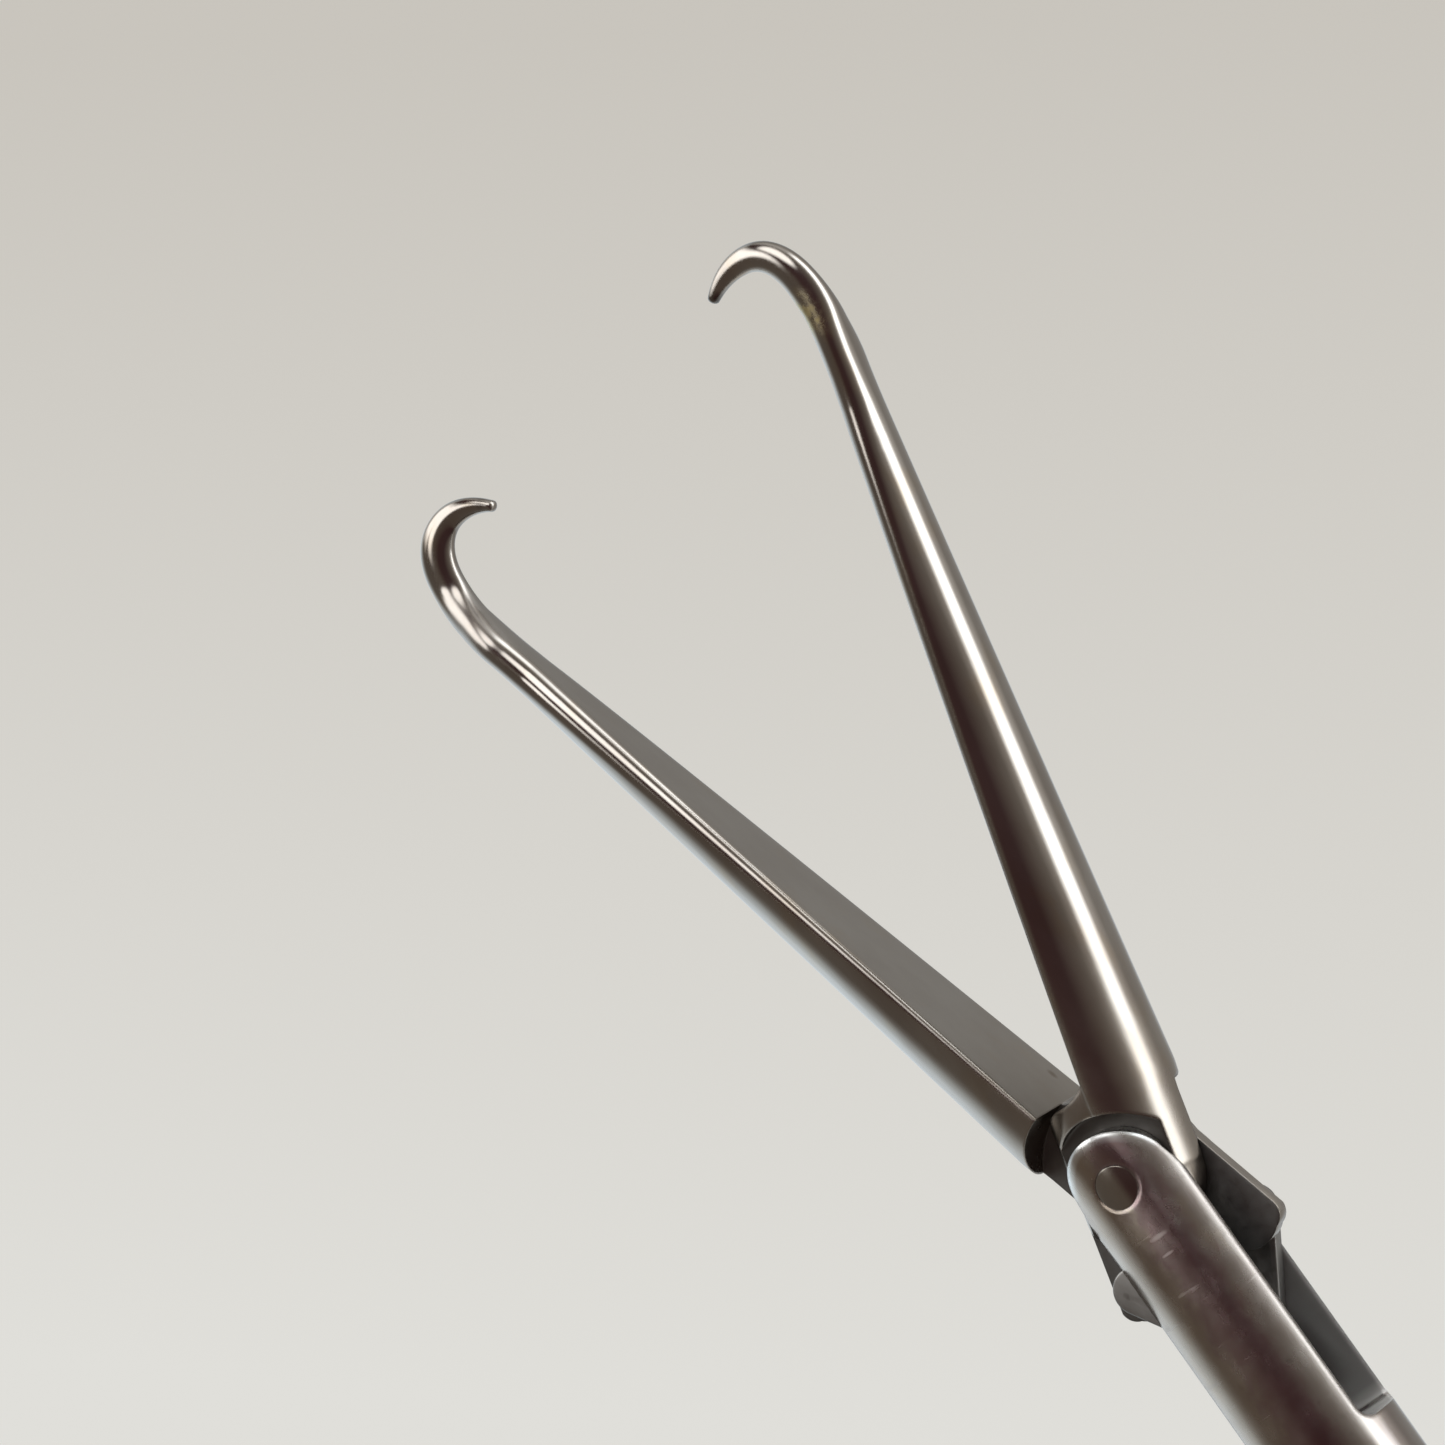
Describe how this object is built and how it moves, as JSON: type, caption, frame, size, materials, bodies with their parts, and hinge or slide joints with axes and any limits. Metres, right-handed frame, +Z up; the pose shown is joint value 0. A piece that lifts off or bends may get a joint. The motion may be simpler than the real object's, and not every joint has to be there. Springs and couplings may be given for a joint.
{
  "type": "laparoscopic tenaculum forceps",
  "caption": "Steel keyhole-surgery forceps on a long slim shaft: two long half-round jaws with single inward hooks, worked by links, a push rod and a ratcheted ring handle",
  "frame": {"origin": "under the middle of the instrument, on the table it lies on", "axes": "+X from the handle to the jaws, +Y away from the finger rings, +Z up along the jaw pin and the lever screw"},
  "size_m": [0.436, 0.1204, 0.0198],
  "materials": {
    "jaw_steel": "polished stainless steel with faint brown heat tarnish",
    "link_steel": "machined satin stainless steel",
    "pin_steel": "polished stainless steel",
    "shaft_steel": "polished stainless steel with faint brown heat tarnish",
    "handle_steel": "satin stainless steel",
    "silicone": "matt grey silicone",
    "ptfe": "matt white low-friction plastic"
  },
  "bodies": {
    "handle": {"handle_frame": "handle_steel", "head_nut": "pin_steel", "lever_screw": "pin_steel", "lever_nut": "pin_steel", "lever_washer_front": "ptfe", "lever_washer_rear": "ptfe", "flush_port": "handle_steel", "flush_cap": "handle_steel", "detent_ball": "pin_steel", "detent_spring": "pin_steel"},
    "shaft": {"shaft_tube": "shaft_steel", "clevis": "shaft_steel", "jaw_pin": "pin_steel", "rotation_knob": "handle_steel", "knob_grub_screw": "pin_steel", "bearing_sleeve": "shaft_steel", "sleeve_o_ring": "silicone", "rod_seal": "silicone"},
    "rod": {"push_rod": "shaft_steel", "rod_tip": "link_steel", "rod_pin": "pin_steel", "rod_ball": "pin_steel"},
    "jaw_a": {"jaw_a": "jaw_steel", "link_rivet_a": "pin_steel"},
    "jaw_b": {"jaw_b": "jaw_steel", "link_rivet_b": "pin_steel"},
    "link_a": {"link_a": "link_steel"},
    "link_b": {"link_b": "link_steel"},
    "lever": {"thumb_lever": "handle_steel"}
  },
  "joints": [
    {"name": "shaft_spin", "type": "hinge", "parent": "handle", "child": "shaft", "pos_m": [-0.13902, 0.03525, 0.0099], "axis": [1, 0, 0], "continuous": true},
    {"name": "lever_pivot", "type": "hinge", "parent": "handle", "child": "lever", "pos_m": [-0.16602, 0.02225, 0.0099], "axis": [0, 0, 1], "range_deg": [-9.1, 9.79]},
    {"name": "rod_slide", "type": "slide", "parent": "shaft", "child": "rod", "axis": [1, 0, 0], "range_m": [-0.00223, 0.00208]},
    {"name": "jaw_a_pivot", "type": "hinge", "parent": "shaft", "child": "jaw_a", "pos_m": [0.15198, 0.03525, 0.0099], "axis": [0, 0, 1], "range_deg": [-14.42, 15.5]},
    {"name": "jaw_b_pivot", "type": "hinge", "parent": "shaft", "child": "jaw_b", "pos_m": [0.15198, 0.03525, 0.0099], "axis": [0, 0, 1], "range_deg": [-15.5, 14.42]},
    {"name": "link_a_rivet", "type": "hinge", "parent": "jaw_a", "child": "link_a", "pos_m": [0.14566, 0.03947, 0.0099], "axis": [0, 0, 1], "range_deg": [-31, 28.84]},
    {"name": "link_b_rivet", "type": "hinge", "parent": "jaw_b", "child": "link_b", "pos_m": [0.14566, 0.03103, 0.0099], "axis": [0, 0, 1], "range_deg": [-28.84, 31]}
  ],
  "couplings": [
    {"joint": "rod_slide", "follows": "lever_pivot", "m_per_rad": -0.013},
    {"joint": "jaw_a_pivot", "follows": "lever_pivot", "ratio": 1.5818},
    {"joint": "jaw_b_pivot", "follows": "lever_pivot", "ratio": -1.5818},
    {"joint": "link_a_rivet", "follows": "lever_pivot", "ratio": -3.1636},
    {"joint": "link_b_rivet", "follows": "lever_pivot", "ratio": 3.1636}
  ]
}
